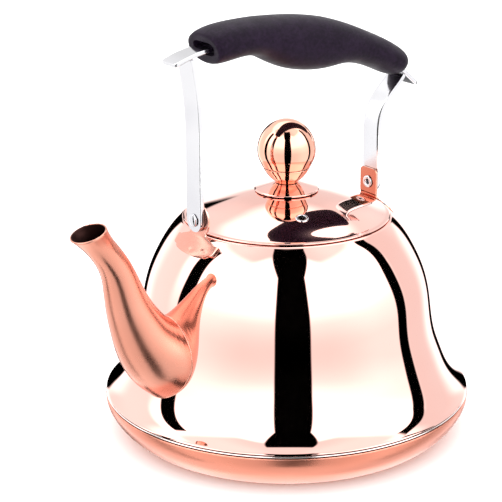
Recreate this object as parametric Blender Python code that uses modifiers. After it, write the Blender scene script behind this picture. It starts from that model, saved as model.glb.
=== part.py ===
"""Stovetop whistling kettle: flared bell body on a satin base pan, S-curved spout,
tent-shaped lift-off lid with a hollow ball knob, and a swinging bail handle.

Metres, +Z up. The origin is the centre of the underside of the base pan. The
spout points along -X, and the handle's straps stand in the XZ plane.
"""

import math

import bmesh
import bpy
from mathutils import Matrix, Vector

MM = 0.001
GAP = 0.3  # clearance between touching pieces, in millimetres

# Driving dimensions, in millimetres.
BASE_RADIUS = 94.8
BASE_FLAT_RADIUS = 78.5
BASE_TOP = 19.9
BASE_WALL = 1.4
SHELL_WALL = 1.0
LIP_RADIUS = 94.5
MOUTH_RADIUS = 51.5
MOUTH_TOP = 113.5
COLLAR_DEPTH = 9.5
LID_RADIUS = 52.9
LID_WALL = 0.9
PIVOT_Z = 121.5
LUG_X = 55.1
LUG_THICK = 1.0
STRAP_X = 56.9
STRAP_THICK = 2.0
STRAP_WIDTH = 12.0
TANG_WIDTH = 12.4
TANG_THICK = 2.0
RIVET_RADIUS = 2.3
RIVET_HEAD = 3.3
BALL_RADIUS = 14.9
BALL_CENTRE = 147.8
BALL_TOP = 164.0
NECK_Z = 131.3
SPOUT_WALL = 0.9
WHISTLE_XY = (-14.2, -30.4)

for old in list(bpy.data.objects):
    bpy.data.objects.remove(old, do_unlink=True)

parts = bpy.data.collections.new("whistling_kettle")
cutters = bpy.data.collections.new("cutters")
bpy.context.scene.collection.children.link(parts)
bpy.context.scene.collection.children.link(cutters)


def material(name, colour, roughness, metallic):
    made = bpy.data.materials.new(name)
    made.use_nodes = True
    shader = made.node_tree.nodes["Principled BSDF"]
    shader.inputs["Base Color"].default_value = (*colour, 1.0)
    shader.inputs["Roughness"].default_value = roughness
    shader.inputs["Metallic"].default_value = metallic
    return made


ROSE = material("mirror_rose_gold", (0.92, 0.55, 0.42), 0.05, 1.0)
SATIN = material("satin_rose_gold", (0.86, 0.47, 0.34), 0.32, 1.0)
SPOUT_COPPER = material("spout_copper", (0.84, 0.47, 0.35), 0.22, 1.0)
KNOB_COPPER = material("knob_copper", (0.95, 0.46, 0.26), 0.06, 1.0)
STEEL = material("polished_steel", (0.82, 0.82, 0.84), 0.10, 1.0)
INNER_STEEL = material("inner_steel", (0.62, 0.60, 0.58), 0.35, 1.0)
GRIP = material("soft_black_grip", (0.045, 0.035, 0.05), 0.55, 0.0)


def link(obj, collection=parts, mat=None):
    collection.objects.link(obj)
    if mat is not None:
        obj.data.materials.append(mat)
    return obj


def smooth(obj, angle=40.0):
    obj.data.shade_smooth()
    obj.data.set_sharp_from_angle(angle=math.radians(angle))
    return obj


def curve_through(points, count):
    """Points on a Catmull-Rom curve through the given control points."""
    pts = [Vector(p) for p in points]
    ends = [2 * pts[0] - pts[1]] + pts + [2 * pts[-1] - pts[-2]]
    spans = len(pts) - 1
    out = []
    for k in range(count):
        t = k / (count - 1) * spans
        i = min(int(t), spans - 1)
        u = t - i
        a, b, c, d = ends[i : i + 4]
        out.append(
            0.5
            * (
                2 * b
                + (c - a) * u
                + (2 * a - 5 * b + 4 * c - d) * u * u
                + (3 * b - a - 3 * c + d) * u ** 3
            )
        )
    return out


def offset_inward(profile, distance):
    """The (r, z) profile moved towards the axis side by its own normal."""
    out = []
    for k, point in enumerate(profile):
        before = profile[max(k - 1, 0)]
        after = profile[min(k + 1, len(profile) - 1)]
        run = Vector((after[0] - before[0], after[1] - before[1])).normalized()
        normal = Vector((run[1], -run[0]))
        out.append((point[0] + normal[0] * distance, point[1] + normal[1] * distance))
    return out


def turned(name, profile, mat, steps=48, closed=True, collection=parts):
    """A profile of (r, z) in millimetres, outer side first and downwards, turned about Z."""
    mesh = bpy.data.meshes.new(name)
    edges = [(i, i + 1) for i in range(len(profile) - 1)]
    if closed:
        edges.append((len(profile) - 1, 0))
    mesh.from_pydata([(r * MM, 0.0, z * MM) for r, z in profile], edges, [])
    obj = link(bpy.data.objects.new(name, mesh), collection, mat)
    screw = obj.modifiers.new("Turn", "SCREW")
    screw.axis = "Z"
    screw.angle = 2 * math.pi
    screw.steps = steps
    screw.render_steps = steps
    screw.use_merge_vertices = True
    screw.merge_threshold = 0.00001
    screw.use_smooth_shade = True
    return obj


def sheet(name, rows, thickness, mat):
    """An open grid of points in millimetres, thickened evenly about itself."""
    mesh = bpy.data.meshes.new(name)
    bm = bmesh.new()
    grid = [[bm.verts.new([c * MM for c in p]) for p in row] for row in rows]
    for upper, lower in zip(grid[:-1], grid[1:]):
        for k in range(len(upper) - 1):
            bm.faces.new((upper[k], upper[k + 1], lower[k + 1], lower[k]))
    bmesh.ops.recalc_face_normals(bm, faces=bm.faces)
    bm.to_mesh(mesh)
    bm.free()
    obj = link(bpy.data.objects.new(name, mesh), parts, mat)
    solid = obj.modifiers.new("Thickness", "SOLIDIFY")
    solid.thickness = thickness * MM
    solid.offset = 0.0
    solid.use_even_offset = True
    return obj


def loft(name, rings, mat, closed_tube=False, collection=parts):
    """Rings of matching points joined in turn: capped at both ends, or joined end to end."""
    mesh = bpy.data.meshes.new(name)
    bm = bmesh.new()
    made = [[bm.verts.new([c * MM for c in p]) for p in ring] for ring in rings]
    pairs = list(zip(made[:-1], made[1:]))
    if closed_tube:
        pairs.append((made[-1], made[0]))
    for first, second in pairs:
        count = len(first)
        for k in range(count):
            n = (k + 1) % count
            bm.faces.new((first[k], first[n], second[n], second[k]))
    if not closed_tube:
        bm.faces.new(made[0])
        bm.faces.new(made[-1])
    bmesh.ops.recalc_face_normals(bm, faces=bm.faces)
    bm.to_mesh(mesh)
    bm.free()
    return link(bpy.data.objects.new(name, mesh), collection, mat)


def rod(name, start, end, radius, sides=24):
    """A straight cylinder between two points in millimetres, for cutting."""
    start, end = Vector(start), Vector(end)
    mesh = bpy.data.meshes.new(name)
    bm = bmesh.new()
    bmesh.ops.create_cone(
        bm,
        cap_ends=True,
        segments=sides,
        radius1=radius * MM,
        radius2=radius * MM,
        depth=(end - start).length * MM,
    )
    bm.to_mesh(mesh)
    bm.free()
    obj = link(bpy.data.objects.new(name, mesh), cutters)
    turn = (end - start).to_track_quat("Z", "Y").to_matrix().to_4x4()
    obj.matrix_world = Matrix.Translation((start + end) * 0.5 * MM) @ turn
    return helper(obj)


def helper(obj):
    obj.hide_render = True
    obj.display_type = "WIRE"
    return obj


def cut(obj, cutter):
    boolean = obj.modifiers.new("Cut " + cutter.name, "BOOLEAN")
    boolean.operation = "DIFFERENCE"
    boolean.object = cutter
    return obj


def ride(pieces, empty):
    for piece in pieces:
        piece.parent = empty
        piece.matrix_parent_inverse = empty.matrix_world.inverted()


# ---------------------------------------------------------------- body shell
# Outer wall from the mouth down to the flared lip: a rounded shoulder, a slight
# waist at two thirds of the height and a bell-shaped flare.
shoulder_and_flare = [
    (54.0, 113.2),
    (56.6, 110.6),
    (61.4, 104.6),
    (66.2, 96.5),
    (70.7, 86.5),
    (73.7, 75.5),
    (75.4, 63.5),
    (77.4, 52.5),
    (80.7, 42.5),
    (84.0, 34.5),
    (87.6, 28.5),
    (91.2, 24.6),
    (94.1, 22.4),
]
wall = [tuple(p) for p in curve_through(shoulder_and_flare, 16)]
outer = [(MOUTH_RADIUS, MOUTH_TOP), (53.2, MOUTH_TOP)] + wall + [(LIP_RADIUS, 21.9)]
inner = offset_inward(wall, SHELL_WALL)
inside = [(LIP_RADIUS - 0.3, 21.5), (93.2, 21.9)] + inner[-2::-1][:-1]
inside += [(52.6, MOUTH_TOP - SHELL_WALL), (MOUTH_RADIUS, MOUTH_TOP - SHELL_WALL)]
body_shell = turned("body_shell", outer + inside, ROSE, steps=48)

# The spout opens through the wall on the -X side.
cut(body_shell, rod("spout_port", (-110.0, 0.0, 62.5), (-55.0, 0.0, 46.5), 15.5, 20))

mouth_collar = turned(
    "mouth_collar",
    [
        (MOUTH_RADIUS - GAP, MOUTH_TOP - 0.2),
        (MOUTH_RADIUS - GAP, MOUTH_TOP - COLLAR_DEPTH),
        (MOUTH_RADIUS - GAP - 1.0, MOUTH_TOP - COLLAR_DEPTH),
        (MOUTH_RADIUS - GAP - 1.0, MOUTH_TOP - 0.2),
    ],
    INNER_STEEL,
    steps=36,
)

# ---------------------------------------------------------------- base
pan_side = [
    (BASE_RADIUS - 0.4, BASE_TOP),
    (BASE_RADIUS, BASE_TOP - 0.6),
    (94.4, 16.4),
    (92.6, 12.2),
    (89.4, 7.6),
    (85.2, 3.6),
    (81.6, 1.0),
    (BASE_FLAT_RADIUS, 0.0),
]
pan_inside = [
    (77.6, BASE_WALL),
    (80.6, 2.2),
    (84.3, 4.8),
    (88.3, 8.6),
    (91.3, 12.9),
    (93.0, 16.6),
    (93.3, BASE_TOP),
]
base_pan = turned(
    "base_pan",
    [(0.0, BASE_WALL)] + pan_inside + pan_side + [(0.0, 0.0)],
    SATIN,
    steps=48,
    closed=False,
)

# A rolled bead closes the seam between the lip and the pan.
seam_ring = turned(
    "seam_ring",
    [
        (94.3, 21.15),
        (94.7, 20.7),
        (94.3, 20.25),
        (93.0, 20.7),
    ],
    STEEL,
    steps=48,
)

# ---------------------------------------------------------------- spout
spout_path = [
    Vector((-66.0, 0.0, 49.0)),
    Vector((-74.0, 0.0, 52.6)),
    Vector((-82.3, 0.0, 58.9)),
    Vector((-88.6, 0.0, 66.6)),
    Vector((-93.0, 0.0, 74.6)),
    Vector((-97.6, 0.0, 85.4)),
    Vector((-100.9, 0.0, 96.4)),
    Vector((-104.0, 0.0, 105.4)),
    Vector((-108.6, 0.0, 113.6)),
    Vector((-113.8, 0.0, 120.6)),
    Vector((-118.6, 0.0, 126.4)),
]
spout_radii = [20.4, 20.1, 18.6, 15.9, 13.6, 11.2, 9.3, 8.0, 7.3, 7.5, 9.2]
LIP_TILT = math.radians(18.0)


def spout_rings(extra):
    """Circular sections square to the spout's path, the last one on the mouth's plane."""
    rings = []
    path = curve_through(spout_path, 15)
    radii = curve_through([(r, 0.0) for r in spout_radii], 15)
    for k, centre in enumerate(path):
        ahead = path[min(k + 1, len(path) - 1)] - path[max(k - 1, 0)]
        ahead.normalize()
        if k >= len(path) - 3:
            mouth = Vector((-math.sin(LIP_TILT), 0.0, math.cos(LIP_TILT)))
            ahead = ahead.lerp(mouth, (k - len(path) + 4) / 3).normalized()
        side = Vector((0.0, 1.0, 0.0))
        up = ahead.cross(side)
        ring = []
        for j in range(20):
            turn = 2 * math.pi * j / 20
            ring.append(
                centre
                + (side * math.cos(turn) + up * math.sin(turn)) * (radii[k][0] + extra)
            )
        rings.append(ring)
    return rings


spout = loft(
    "spout",
    spout_rings(0.0) + list(reversed(spout_rings(-SPOUT_WALL))),
    SPOUT_COPPER,
    closed_tube=True,
)
clearance = [(r + GAP, z) for r, z in wall]
body_cutter = helper(
    turned(
        "body_outside",
        [(0.0, 114.0), (clearance[0][0], 114.0)] + clearance + [(96.0, 16.0), (0.0, 16.0)],
        None,
        steps=48,
        closed=False,
        collection=cutters,
    )
)
cut(spout, body_cutter)

# ---------------------------------------------------------------- handle brackets


def bracket(name, side, lug_outline):
    """An oval foot lying on the shoulder, bent up into a lug with the given outline."""
    shoulder = curve_through([(62.0, 105.0), (61.7, 105.5), (59.4, 108.4), (57.4, 110.8)], 41)
    foot = []
    for t, half in (
        (0.0, 4.6),
        (0.07, 8.6),
        (0.18, 11.8),
        (0.34, 14.4),
        (0.55, 16.3),
        (0.76, 16.4),
        (1.0, 14.0),
    ):
        point = shoulder[round(40 * t)]
        foot.append((point[0], point[1], half, 1.0))
    neck = [(56.7, 111.8, 11.6, 1.0), (55.95, 112.9, 8.4, 0.8), (55.4, 114.3, 6.3, 0.4)]
    neck.append((LUG_X, 115.8, 6.2, 0.0))
    lug = [(LUG_X, z, half, 0.0) for z, half in lug_outline]
    rows = []
    for radius, z, half, curved in foot + neck + lug:
        row = []
        for j in range(7):
            y = half * (j / 3 - 1)
            round_x = math.sqrt(max(radius**2 - y**2, 0.0))
            x = round_x * curved + radius * (1 - curved)
            row.append((side * x, y, z))
        rows.append(row)
    made = sheet(name, rows, LUG_THICK, ROSE)
    hole = rod(
        name + "_hole",
        (side * (LUG_X - 4), 0.0, PIVOT_Z),
        (side * (LUG_X + 4), 0.0, PIVOT_Z),
        RIVET_RADIUS + GAP,
        14,
    )
    return cut(made, hole)


# The front lug is a round disc about the pivot, the rear one a rounded rectangle.
round_lug = [
    (PIVOT_Z + rise, math.sqrt(9.0**2 - rise**2)) for rise in (-4.4, -1.5, 1.8, 4.8, 7.2, 8.7)
]
square_lug = [
    (PIVOT_Z + rise, half)
    for rise, half in ((-4.4, 6.4), (-1.0, 6.4), (2.4, 6.4), (5.0, 6.4), (6.7, 5.7), (7.5, 4.0))
]
front_bracket = bracket("front_bracket", -1, round_lug)
rear_bracket = bracket("rear_bracket", 1, square_lug)


def rivet(name, side):
    """A tubular rivet: domed head outside the strap, flared and hollow inside the lug."""
    strap_face = STRAP_X + STRAP_THICK / 2 + GAP
    lug_face = LUG_X - LUG_THICK / 2 - GAP
    profile = [
        (0.0, strap_face + 1.1),
        (1.7, strap_face + 0.95),
        (2.8, strap_face + 0.5),
        (RIVET_HEAD, strap_face),
        (RIVET_RADIUS, strap_face),
        (RIVET_RADIUS, lug_face),
        (RIVET_HEAD, lug_face),
        (RIVET_HEAD - 0.2, lug_face - 0.5),
        (2.3, lug_face - 0.85),
        (1.6, lug_face - 0.6),
        (1.3, lug_face),
        (1.3, strap_face - 1.0),
        (0.0, strap_face - 1.0),
    ]
    made = turned(name, profile, STEEL, steps=16, closed=False)
    made.matrix_world = Matrix.Translation((0.0, 0.0, PIVOT_Z * MM)) @ Matrix.Rotation(
        side * math.pi / 2, 4, "Y"
    )
    return made


front_rivet = rivet("front_rivet", -1)
rear_rivet = rivet("rear_rivet", 1)

# ---------------------------------------------------------------- handle


def ribbon(name, path, width_at, thickness, mat, columns=3):
    """A flat bar: a path in the XZ plane, swept across Y by the width at each point."""
    rows = []
    for k, point in enumerate(path):
        half = width_at(k / (len(path) - 1), point)
        rows.append(
            [(point[0], half * (2 * j / columns - 1), point[1]) for j in range(columns + 1)]
        )
    return sheet(name, rows, thickness, mat)


def strap_width(t, point):
    low = PIVOT_Z - point[1]
    full = STRAP_WIDTH / 2
    return math.sqrt(max(full**2 - low**2, 2.2**2)) if low > 0 else full


foot_levels = [PIVOT_Z - 5.8, PIVOT_Z - 5.0, PIVOT_Z - 3.6, PIVOT_Z - 1.8]
front_path = [(-STRAP_X, z) for z in foot_levels] + [
    tuple(p)
    for p in curve_through(
        [
            (-STRAP_X, PIVOT_Z),
            (-STRAP_X, 145.0),
            (-STRAP_X, 166.0),
            (-57.5, 178.0),
            (-59.0, 190.0),
            (-61.2, 202.9),
        ],
        10,
    )
]
front_strap = ribbon("front_strap", front_path, strap_width, STRAP_THICK, STEEL)

rear_path = [(STRAP_X, z) for z in foot_levels] + [
    tuple(p)
    for p in curve_through(
        [
            (STRAP_X, PIVOT_Z),
            (STRAP_X, 136.0),
            (STRAP_X, 149.0),
            (57.8, 156.5),
            (60.6, 163.4),
            (66.2, 169.8),
            (70.6, 173.9),
            (73.5, 177.2),
        ],
        12,
    )
]
rear_strap = ribbon("rear_strap", rear_path, strap_width, STRAP_THICK, STEEL)
for strap, side in ((front_strap, -1), (rear_strap, 1)):
    cut(
        strap,
        rod(
            strap.name + "_hole",
            (side * (STRAP_X - 5), 0.0, PIVOT_Z),
            (side * (STRAP_X + 5), 0.0, PIVOT_Z),
            RIVET_RADIUS + GAP,
            14,
        ),
    )

tang_points = [
    (-71.2, 201.3),
    (-66.0, 203.2),
    (-60.0, 204.9),
    (-50.0, 206.6),
    (-30.0, 207.0),
    (-5.0, 204.4),
    (20.0, 199.9),
    (45.0, 193.6),
    (60.0, 187.9),
    (67.0, 184.0),
    (72.5, 180.0),
    (78.0, 175.4),
    (83.3, 170.8),
]
tang = ribbon(
    "handle_tang",
    [tuple(p) for p in curve_through(tang_points, 19)],
    lambda t, p: TANG_WIDTH / 2,
    TANG_THICK,
    STEEL,
    columns=1,
)

# Grip: flat oval ends and a palm swell under the middle.
grip_stations = [
    (-50.6, 206.3, 13.4, 7.9),
    (-46.0, 207.3, 13.8, 8.7),
    (-38.0, 208.5, 13.9, 9.0),
    (-28.0, 209.1, 14.0, 8.9),
    (-19.0, 208.4, 14.0, 9.8),
    (-9.0, 206.0, 14.1, 11.9),
    (1.0, 203.5, 14.2, 13.4),
    (12.0, 201.5, 14.2, 13.7),
    (22.0, 200.2, 14.2, 12.9),
    (33.0, 198.8, 14.1, 10.7),
    (43.0, 196.2, 13.9, 9.2),
    (51.0, 193.3, 13.8, 8.6),
    (58.5, 190.0, 13.7, 8.3),
    (65.5, 186.4, 13.3, 7.9),
    (69.8, 184.0, 12.0, 6.9),
    (71.8, 182.8, 9.4, 5.0),
]
grip_rings = []
for k, (x, z, half_y, half_z) in enumerate(grip_stations):
    a = grip_stations[max(k - 1, 0)]
    b = grip_stations[min(k + 1, len(grip_stations) - 1)]
    slope = math.atan2(b[1] - a[1], b[0] - a[0])
    ring = []
    for j in range(20):
        turn = 2 * math.pi * j / 20
        up = half_z * math.sin(turn)
        ring.append(
            (x - up * math.sin(slope), half_y * math.cos(turn), z + up * math.cos(slope))
        )
    grip_rings.append(ring)
grip = loft("grip", grip_rings, GRIP)
slot_half = TANG_THICK / 2 + GAP
slot_path = curve_through(tang_points, 19)
slot_rings = []
for k, point in enumerate(slot_path):
    run = slot_path[min(k + 1, 18)] - slot_path[max(k - 1, 0)]
    normal = Vector((-run[1], run[0])).normalized() * slot_half
    half = TANG_WIDTH / 2 + GAP
    slot_rings.append(
        [
            (point[0] + normal[0], half, point[1] + normal[1]),
            (point[0] - normal[0], half, point[1] - normal[1]),
            (point[0] - normal[0], -half, point[1] - normal[1]),
            (point[0] + normal[0], -half, point[1] + normal[1]),
        ]
    )
slot = helper(loft("tang_slot", slot_rings, None, collection=cutters))
cut(grip, slot)

# ---------------------------------------------------------------- lid
# A low domed lid: a rolled rim, a rise that eases from twenty-four to thirteen
# degrees, and a flat crown under the knob.
lid_top = [
    (2.4, 128.5),
    (8.0, 128.2),
    (12.0, 127.6),
    (16.5, 126.5),
    (23.0, 124.9),
    (32.7, 121.95),
    (42.0, 118.55),
    (48.6, 115.8),
    (51.2, 114.8),
    (52.5, 114.65),
    (LID_RADIUS, 114.25),
]
lid_under = [
    (LID_RADIUS - 0.3, 113.85),
    (51.2, 113.85),
    (48.2, 114.85),
    (41.7, 117.65),
    (32.4, 121.05),
    (22.7, 124.0),
    (16.3, 125.6),
    (12.0, 126.7),
    (8.0, 127.3),
    (2.4, 127.6),
]
lid_dome = turned("lid_dome", lid_top + lid_under, ROSE, steps=44)

lid_skirt = turned(
    "lid_skirt",
    [
        (47.8, 114.2),
        (48.6, 113.2),
        (48.6, 106.2),
        (48.2, 105.4),
        (47.6, 105.4),
        (47.6, 113.0),
        (46.8, 114.0),
        (47.2, 114.6),
    ],
    INNER_STEEL,
    steps=36,
)

# Whistle: an eyelet through the lid with a drilled cup under it, square to the slope.
wx, wy = WHISTLE_XY
whistle_r = math.hypot(wx, wy)
slope_angle = math.radians(19.4)
outward = Vector((wx / whistle_r, wy / whistle_r, 0.0))
whistle_axis = outward * math.sin(slope_angle) + Vector((0, 0, math.cos(slope_angle)))
whistle_seat = Vector((wx, wy, 121.25))
cut(
    lid_dome,
    rod(
        "whistle_hole",
        whistle_seat - whistle_axis * 6,
        whistle_seat + whistle_axis * 6,
        2.5,
        16,
    ),
)


def seat_on_lid(obj):
    obj.matrix_world = (
        Matrix.Translation(whistle_seat * MM)
        @ whistle_axis.to_track_quat("Z", "Y").to_matrix().to_4x4()
    )
    return obj


vent_eyelet = seat_on_lid(
    turned(
        "vent_eyelet",
        [
            (1.7, 1.3),
            (2.4, 1.55),
            (3.0, 1.2),
            (3.3, 0.6),
            (3.1, 0.4),
            (2.2, 0.4),
            (2.2, -2.2),
            (1.6, -2.2),
            (1.6, 1.0),
        ],
        STEEL,
        steps=14,
    )
)
whistle_cup = seat_on_lid(
    turned(
        "whistle_cup",
        [
            (5.6, -1.4),
            (5.6, -1.8),
            (4.6, -2.2),
            (4.4, -5.2),
            (0.7, -5.6),
            (0.7, -4.9),
            (3.8, -4.5),
            (3.9, -1.6),
        ],
        INNER_STEEL,
        steps=14,
    )
)

# Knob: a wide thin seat, a lower cup and an upper shell, all clamped by one stud.
knob_seat = turned(
    "knob_seat",
    [
        (2.4, 131.0),
        (6.4, 130.9),
        (9.0, 130.2),
        (12.5, 129.1),
        (16.1, 128.0),
        (16.5, 127.5),
        (16.1, 127.1),
        (12.2, 128.1),
        (8.2, 128.75),
        (2.4, 129.0),
    ],
    ROSE,
    steps=32,
)
SEAM_Z = 139.2
cup_outer = [
    (12.0, SEAM_Z - 0.2),
    (11.2, 137.4),
    (10.0, 135.6),
    (8.0, 133.3),
    (6.2, 131.8),
    (5.9, NECK_Z),
]
cup_inner = [
    (2.4, NECK_Z),
    (2.4, 132.5),
    (5.6, 132.6),
    (7.4, 134.0),
    (9.2, 136.1),
    (10.4, 137.8),
    (11.0, SEAM_Z - 0.2),
]
knob_cup = turned("knob_cup", cup_outer + cup_inner, KNOB_COPPER, steps=28)

shell_outer = [(0.0, BALL_TOP)]
rise = BALL_TOP - BALL_CENTRE
for k in range(1, 7):
    turn = math.radians(15 * k)
    shell_outer.append((BALL_RADIUS * math.sin(turn), BALL_CENTRE + rise * math.cos(turn)))
shell_outer += [(14.6, 145.0), (13.6, 142.2), (12.3, SEAM_Z + 0.1)]
shell_inner = [(11.3, SEAM_Z + 0.1), (12.6, 142.4), (13.6, 145.1)]
for k in range(6, 0, -1):
    turn = math.radians(15 * k)
    shell_inner.append(
        ((BALL_RADIUS - 1) * math.sin(turn), BALL_CENTRE + (rise - 1) * math.cos(turn))
    )
shell_inner.append((0.0, BALL_TOP - 1.0))
knob_shell = turned(
    "knob_shell", shell_outer + shell_inner, KNOB_COPPER, steps=28, closed=False
)
knob_stud = turned(
    "knob_stud",
    [
        (0.0, 134.6),
        (4.2, 134.4),
        (4.2, 132.8),
        (2.1, 132.8),
        (2.1, 122.4),
        (1.6, 121.9),
        (0.0, 121.9),
    ],
    STEEL,
    steps=12,
    closed=False,
)
lid_washer = turned(
    "lid_washer",
    [(6.5, 127.0), (6.5, 126.4), (2.5, 126.4), (2.5, 127.0)],
    STEEL,
    steps=20,
)

nut_mesh = bpy.data.meshes.new("lid_nut")
bm = bmesh.new()
bmesh.ops.create_cone(
    bm, cap_ends=True, segments=6, radius1=4.0 * MM, radius2=4.0 * MM, depth=3.0 * MM
)
bm.to_mesh(nut_mesh)
bm.free()
lid_nut = link(bpy.data.objects.new("lid_nut", nut_mesh), parts, STEEL)
lid_nut.location = (0.0, 0.0, 124.6 * MM)
bpy.context.view_layer.update()
cut(lid_nut, rod("nut_bore", (0, 0, 118.0), (0, 0, 131.0), 2.1 + GAP, 16))

# ---------------------------------------------------------------- joint axes
handle_pivot = bpy.data.objects.new("handle_pivot", None)
handle_pivot.location = (0.0, 0.0, PIVOT_Z * MM)
lid_axis = bpy.data.objects.new("lid_axis", None)
lid_axis.location = (0.0, 0.0, MOUTH_TOP * MM)
for empty in (handle_pivot, lid_axis):
    empty.empty_display_size = 0.02
    parts.objects.link(empty)
bpy.context.view_layer.update()
ride([front_strap, rear_strap, tang, grip], handle_pivot)
ride(
    [
        lid_dome,
        lid_skirt,
        vent_eyelet,
        whistle_cup,
        knob_seat,
        knob_cup,
        knob_shell,
        knob_stud,
        lid_washer,
        lid_nut,
    ],
    lid_axis,
)
for obj in (front_bracket, rear_bracket, front_strap, rear_strap, tang, grip, spout):
    smooth(obj)
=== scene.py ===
import math

import bpy
import bmesh
import numpy as np
from mathutils import Matrix, Vector


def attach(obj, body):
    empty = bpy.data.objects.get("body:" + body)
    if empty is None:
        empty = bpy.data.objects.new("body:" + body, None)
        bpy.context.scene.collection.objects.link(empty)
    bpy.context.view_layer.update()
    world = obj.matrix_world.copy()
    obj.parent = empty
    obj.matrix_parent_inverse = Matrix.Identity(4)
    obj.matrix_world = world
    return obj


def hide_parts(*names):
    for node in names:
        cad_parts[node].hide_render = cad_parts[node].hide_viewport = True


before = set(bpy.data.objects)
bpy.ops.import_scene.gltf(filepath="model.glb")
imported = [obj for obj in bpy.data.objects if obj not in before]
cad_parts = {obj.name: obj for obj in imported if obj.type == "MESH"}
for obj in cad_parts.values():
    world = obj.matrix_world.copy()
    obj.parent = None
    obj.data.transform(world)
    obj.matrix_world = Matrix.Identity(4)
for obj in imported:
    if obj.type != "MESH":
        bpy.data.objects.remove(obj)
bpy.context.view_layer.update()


MM = 0.001
scene = bpy.context.scene

# ------------------------------------------------------------------ dimensions (mm)
PIVOT_Z = 121.5
LUG_X, LUG_THICK = 55.1, 1.0
STRAP_X, STRAP_THICK, STRAP_WIDTH = 56.9, 2.0, 12.0
TANG_WIDTH, TANG_THICK = 12.4, 2.0
WALL_POINTS = [
    (54.0, 113.2),
    (56.6, 110.6),
    (61.4, 104.6),
    (66.2, 96.5),
    (70.7, 86.5),
    (73.7, 75.5),
    (75.4, 63.5),
    (77.4, 52.5),
    (80.7, 42.5),
    (84.0, 34.5),
    (87.6, 28.5),
    (91.2, 24.6),
    (94.1, 22.4),
]


# ------------------------------------------------------------------ curves
def spline(points, count):
    """A natural cubic spline through the points, so that reflections run without kinks."""
    p = np.array(points, float)
    gaps = np.linalg.norm(np.diff(p, axis=0), axis=1)
    t = np.concatenate([[0.0], np.cumsum(gaps)])
    n = len(t)
    a = np.zeros((n, n))
    b = np.zeros((n, p.shape[1]))
    a[0, 0] = a[-1, -1] = 1.0
    for i in range(1, n - 1):
        a[i, i - 1] = gaps[i - 1]
        a[i, i] = 2 * (gaps[i - 1] + gaps[i])
        a[i, i + 1] = gaps[i]
        b[i] = 6 * ((p[i + 1] - p[i]) / gaps[i] - (p[i] - p[i - 1]) / gaps[i - 1])
    m = np.linalg.solve(a, b)
    s = np.linspace(0.0, t[-1], count)
    k = np.clip(np.searchsorted(t, s, side="right") - 1, 0, n - 2)
    h = gaps[k][:, None]
    u = (s - t[k])[:, None]
    v = (t[k + 1] - s)[:, None]
    return (
        m[k] * v**3 / (6 * h)
        + m[k + 1] * u**3 / (6 * h)
        + (p[k] / h - m[k] * h / 6) * v
        + (p[k + 1] / h - m[k + 1] * h / 6) * u
    )


def rounded(points, radius, steps=5, closed=True):
    """The polygon with each corner turned into a small arc."""
    pts = [np.array(q, float) for q in points]
    out = []
    n = len(pts)
    for i, q in enumerate(pts):
        if not closed and i in (0, n - 1):
            out.append(tuple(q))
            continue
        a, b = pts[i - 1] - q, pts[(i + 1) % n] - q
        la, lb = np.linalg.norm(a), np.linalg.norm(b)
        cut = min(radius, 0.45 * la, 0.45 * lb)
        start, end = q + a / la * cut, q + b / lb * cut
        for k in range(steps + 1):
            u = k / steps
            out.append(tuple((1 - u) ** 2 * start + 2 * u * (1 - u) * q + u * u * end))
    return out


# ------------------------------------------------------------------ meshes
def finish_mesh(name, bm, mat, sharp=38.0):
    bmesh.ops.remove_doubles(bm, verts=bm.verts, dist=1e-7)
    bmesh.ops.recalc_face_normals(bm, faces=bm.faces)
    mesh = bpy.data.meshes.new(name)
    bm.to_mesh(mesh)
    bm.free()
    obj = bpy.data.objects.new(name, mesh)
    scene.collection.objects.link(obj)
    if mat is not None:
        mesh.materials.append(mat)
    mesh.shade_smooth()
    mesh.set_sharp_from_angle(angle=math.radians(sharp))
    return obj


def lathe(name, profile, mat, steps=160, closed=True, sharp=38.0):
    bm = bmesh.new()
    rings = []
    for r, z in profile:
        if r < 1e-6:
            rings.append([bm.verts.new((0.0, 0.0, z * MM))])
        else:
            rings.append(
                [
                    bm.verts.new(
                        (
                            r * MM * math.cos(2 * math.pi * k / steps),
                            r * MM * math.sin(2 * math.pi * k / steps),
                            z * MM,
                        )
                    )
                    for k in range(steps)
                ]
            )
    pairs = list(zip(rings[:-1], rings[1:]))
    if closed:
        pairs.append((rings[-1], rings[0]))
    for a, b in pairs:
        if len(a) == 1 and len(b) == 1:
            continue
        for k in range(steps):
            n = (k + 1) % steps
            if len(a) == 1:
                bm.faces.new((a[0], b[k], b[n]))
            elif len(b) == 1:
                bm.faces.new((a[k], b[0], a[n]))
            else:
                bm.faces.new((a[k], b[k], b[n], a[n]))
    return finish_mesh(name, bm, mat, sharp)


def skin(name, rings, mat, tube=False, caps=True, sharp=38.0):
    """Rings of matching points (mm) joined in turn."""
    bm = bmesh.new()
    made = [[bm.verts.new([c * MM for c in p]) for p in ring] for ring in rings]
    pairs = list(zip(made[:-1], made[1:]))
    if tube:
        pairs.append((made[-1], made[0]))
    for a, b in pairs:
        n = len(a)
        for k in range(n):
            m = (k + 1) % n
            bm.faces.new((a[k], a[m], b[m], b[k]))
    if caps and not tube:
        bm.faces.new(made[0])
        bm.faces.new(list(reversed(made[-1])))
    return finish_mesh(name, bm, mat, sharp)


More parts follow.
